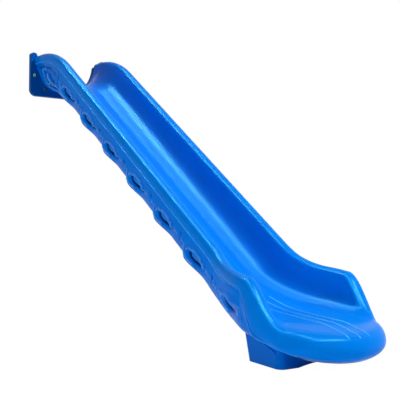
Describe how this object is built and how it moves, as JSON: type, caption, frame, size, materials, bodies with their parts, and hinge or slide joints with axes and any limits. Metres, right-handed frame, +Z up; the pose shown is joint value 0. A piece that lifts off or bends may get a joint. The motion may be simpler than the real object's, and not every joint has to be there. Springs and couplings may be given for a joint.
{
  "type": "straight playground slide",
  "caption": "Straight double-skinned plastic slide with rounded rails, scroll relief on its sides, a deck flange, a rounded exit lip and a low pedestal foot.",
  "frame": {"origin": "on the flange's back face, midway between the two lower deck bolts", "axes": "+Y into the deck, so the exit faces -Y; +X across the slide; +Z up"},
  "size_m": [0.696, 2.7252, 1.762],
  "materials": {
    "chute_skin": "blue polyethylene, glossy as moulded",
    "under_skin": "blue polyethylene, glossy as moulded",
    "end_wall": "blue polyethylene",
    "spacer_posts": "blue polyethylene",
    "exit_ribs": "blue polyethylene, glossy as moulded",
    "deck_flange": "blue polyethylene, glossy as moulded",
    "flange_sleeves": "yellow zinc plate, dull",
    "flange_inserts": "turned brass",
    "flange_screws": "zinc plated",
    "flange_washers": "zinc plated",
    "exit_foot": "blue polyethylene",
    "foot_inserts": "turned brass",
    "foot_screws": "zinc plated",
    "foot_washers": "zinc plated",
    "vent_plug": "soft black plug"
  },
  "bodies": {
    "root": {"chute_skin": "chute_skin", "under_skin": "under_skin", "end_wall": "end_wall", "spacer_posts": "spacer_posts", "exit_ribs": "exit_ribs", "deck_flange": "deck_flange", "flange_sleeves": "flange_sleeves", "flange_inserts": "flange_inserts", "flange_screws": "flange_screws", "flange_washers": "flange_washers", "exit_foot": "exit_foot", "foot_inserts": "foot_inserts", "foot_screws": "foot_screws", "foot_washers": "foot_washers", "vent_plug": "vent_plug"}
  },
  "joints": []
}
